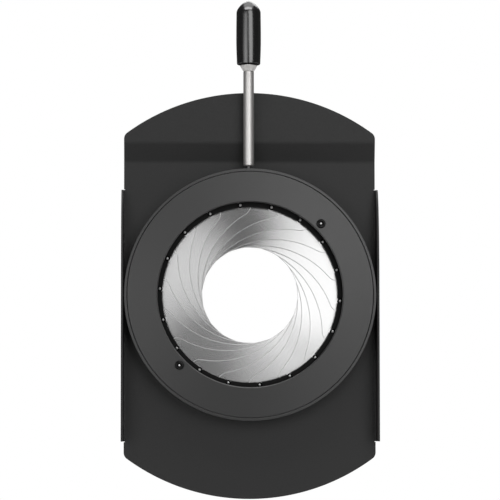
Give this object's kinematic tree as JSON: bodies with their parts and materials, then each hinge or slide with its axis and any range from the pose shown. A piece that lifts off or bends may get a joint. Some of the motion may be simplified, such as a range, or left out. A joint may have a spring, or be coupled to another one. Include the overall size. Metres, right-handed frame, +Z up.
{
  "type": "iris diaphragm",
  "caption": "Drop-in iris diaphragm: round housing of overlapping curved leaves on a folded plate, opened and closed by a handle.",
  "frame": {"origin": "on the lens axis, at the front face of the mounting plate", "axes": "+Z up along the handle at rest, -Y out of the front along the lens axis, +X to the right as seen from the front"},
  "size_m": [0.1162, 0.0156, 0.2252],
  "materials": {
    "powder_coated_plate": "satin black powder coat",
    "black_anodised_metal": "satin black anodised",
    "leaf_steel": "bright rolled stainless strip",
    "bright_steel": "bright drawn wire",
    "polished_rod": "polished",
    "gloss_grip": "gloss black",
    "spring_steel": "plain spring steel",
    "fastener_steel": "blackened steel"
  },
  "bodies": {
    "frame": {"mounting_plate": "powder_coated_plate", "pivot_ring": "black_anodised_metal", "housing_ring": "black_anodised_metal", "front_cover": "black_anodised_metal", "drag_spring_1": "spring_steel", "drag_spring_2": "spring_steel", "cover_rivet_1": "fastener_steel", "cover_rivet_2": "fastener_steel", "rivet_pin_1": "bright_steel", "rivet_pin_2": "bright_steel", "housing_screw_1": "fastener_steel", "housing_screw_2": "fastener_steel", "housing_screw_3": "fastener_steel", "housing_screw_4": "fastener_steel", "pivot_ring_rivet_1": "fastener_steel", "pivot_ring_rivet_2": "fastener_steel", "pivot_ring_rivet_3": "fastener_steel", "pivot_ring_rivet_4": "fastener_steel"},
    "cam": {"cam_ring": "black_anodised_metal", "handle_boss": "fastener_steel", "boss_rivet_1": "fastener_steel", "boss_rivet_2": "fastener_steel", "handle_rod": "polished_rod", "grip_ferrule": "polished_rod", "handle_grip": "gloss_grip"},
    "leaf_01": {"leaf_01": "leaf_steel"},
    "leaf_02": {"leaf_02": "leaf_steel"},
    "leaf_03": {"leaf_03": "leaf_steel"},
    "leaf_04": {"leaf_04": "leaf_steel"},
    "leaf_05": {"leaf_05": "leaf_steel"},
    "leaf_06": {"leaf_06": "leaf_steel"},
    "leaf_07": {"leaf_07": "leaf_steel"},
    "leaf_08": {"leaf_08": "leaf_steel"},
    "leaf_09": {"leaf_09": "leaf_steel"},
    "leaf_10": {"leaf_10": "leaf_steel"},
    "leaf_11": {"leaf_11": "leaf_steel"},
    "leaf_12": {"leaf_12": "leaf_steel"},
    "leaf_13": {"leaf_13": "leaf_steel"},
    "leaf_14": {"leaf_14": "leaf_steel"},
    "leaf_15": {"leaf_15": "leaf_steel"},
    "leaf_16": {"leaf_16": "leaf_steel"},
    "leaf_17": {"leaf_17": "leaf_steel"},
    "leaf_18": {"leaf_18": "leaf_steel"}
  },
  "joints": [
    {"name": "handle_turn", "type": "hinge", "parent": "frame", "child": "cam", "pos_m": [0, 0, 0], "axis": [0, 1, 0], "range_deg": [-49.41, 30.67]},
    {"name": "leaf_01_pivot", "type": "hinge", "parent": "frame", "child": "leaf_01", "pos_m": [-0.03987, 0, -0.02091], "axis": [0, 1, 0], "range_deg": [-24, 14.9]},
    {"name": "leaf_02_pivot", "type": "hinge", "parent": "frame", "child": "leaf_02", "pos_m": [-0.03031, 0, -0.03328], "axis": [0, 1, 0], "range_deg": [-24, 14.9]},
    {"name": "leaf_03_pivot", "type": "hinge", "parent": "frame", "child": "leaf_03", "pos_m": [-0.0171, 0, -0.04164], "axis": [0, 1, 0], "range_deg": [-24, 14.9]},
    {"name": "leaf_04_pivot", "type": "hinge", "parent": "frame", "child": "leaf_04", "pos_m": [-0.00183, 0, -0.04498], "axis": [0, 1, 0], "range_deg": [-24, 14.9]},
    {"name": "leaf_05_pivot", "type": "hinge", "parent": "frame", "child": "leaf_05", "pos_m": [0.01366, 0, -0.04289], "axis": [0, 1, 0], "range_deg": [-24, 14.9]},
    {"name": "leaf_06_pivot", "type": "hinge", "parent": "frame", "child": "leaf_06", "pos_m": [0.02751, 0, -0.03563], "axis": [0, 1, 0], "range_deg": [-24, 14.9]},
    {"name": "leaf_07_pivot", "type": "hinge", "parent": "frame", "child": "leaf_07", "pos_m": [0.03804, 0, -0.02407], "axis": [0, 1, 0], "range_deg": [-24, 14.9]},
    {"name": "leaf_08_pivot", "type": "hinge", "parent": "frame", "child": "leaf_08", "pos_m": [0.04398, 0, -0.00961], "axis": [0, 1, 0], "range_deg": [-24, 14.9]},
    {"name": "leaf_09_pivot", "type": "hinge", "parent": "frame", "child": "leaf_09", "pos_m": [0.04461, 0, 0.00601], "axis": [0, 1, 0], "range_deg": [-24, 14.9]},
    {"name": "leaf_10_pivot", "type": "hinge", "parent": "frame", "child": "leaf_10", "pos_m": [0.03987, 0, 0.02091], "axis": [0, 1, 0], "range_deg": [-24, 14.9]},
    {"name": "leaf_11_pivot", "type": "hinge", "parent": "frame", "child": "leaf_11", "pos_m": [0.03031, 0, 0.03328], "axis": [0, 1, 0], "range_deg": [-24, 14.9]},
    {"name": "leaf_12_pivot", "type": "hinge", "parent": "frame", "child": "leaf_12", "pos_m": [0.0171, 0, 0.04164], "axis": [0, 1, 0], "range_deg": [-24, 14.9]},
    {"name": "leaf_13_pivot", "type": "hinge", "parent": "frame", "child": "leaf_13", "pos_m": [0.00183, 0, 0.04498], "axis": [0, 1, 0], "range_deg": [-24, 14.9]},
    {"name": "leaf_14_pivot", "type": "hinge", "parent": "frame", "child": "leaf_14", "pos_m": [-0.01366, 0, 0.04289], "axis": [0, 1, 0], "range_deg": [-24, 14.9]},
    {"name": "leaf_15_pivot", "type": "hinge", "parent": "frame", "child": "leaf_15", "pos_m": [-0.02751, 0, 0.03563], "axis": [0, 1, 0], "range_deg": [-24, 14.9]},
    {"name": "leaf_16_pivot", "type": "hinge", "parent": "frame", "child": "leaf_16", "pos_m": [-0.03804, 0, 0.02407], "axis": [0, 1, 0], "range_deg": [-24, 14.9]},
    {"name": "leaf_17_pivot", "type": "hinge", "parent": "frame", "child": "leaf_17", "pos_m": [-0.04398, 0, 0.00961], "axis": [0, 1, 0], "range_deg": [-24, 14.9]},
    {"name": "leaf_18_pivot", "type": "hinge", "parent": "frame", "child": "leaf_18", "pos_m": [-0.04461, 0, -0.00601], "axis": [0, 1, 0], "range_deg": [-24, 14.9]}
  ],
  "couplings": [
    {"joint": "leaf_01_pivot", "follows": "handle_turn", "ratio": 0.48574},
    {"joint": "leaf_02_pivot", "follows": "handle_turn", "ratio": 0.48574},
    {"joint": "leaf_03_pivot", "follows": "handle_turn", "ratio": 0.48574},
    {"joint": "leaf_04_pivot", "follows": "handle_turn", "ratio": 0.48574},
    {"joint": "leaf_05_pivot", "follows": "handle_turn", "ratio": 0.48574},
    {"joint": "leaf_06_pivot", "follows": "handle_turn", "ratio": 0.48574},
    {"joint": "leaf_07_pivot", "follows": "handle_turn", "ratio": 0.48574},
    {"joint": "leaf_08_pivot", "follows": "handle_turn", "ratio": 0.48574},
    {"joint": "leaf_09_pivot", "follows": "handle_turn", "ratio": 0.48574},
    {"joint": "leaf_10_pivot", "follows": "handle_turn", "ratio": 0.48574},
    {"joint": "leaf_11_pivot", "follows": "handle_turn", "ratio": 0.48574},
    {"joint": "leaf_12_pivot", "follows": "handle_turn", "ratio": 0.48574},
    {"joint": "leaf_13_pivot", "follows": "handle_turn", "ratio": 0.48574},
    {"joint": "leaf_14_pivot", "follows": "handle_turn", "ratio": 0.48574},
    {"joint": "leaf_15_pivot", "follows": "handle_turn", "ratio": 0.48574},
    {"joint": "leaf_16_pivot", "follows": "handle_turn", "ratio": 0.48574},
    {"joint": "leaf_17_pivot", "follows": "handle_turn", "ratio": 0.48574},
    {"joint": "leaf_18_pivot", "follows": "handle_turn", "ratio": 0.48574}
  ]
}
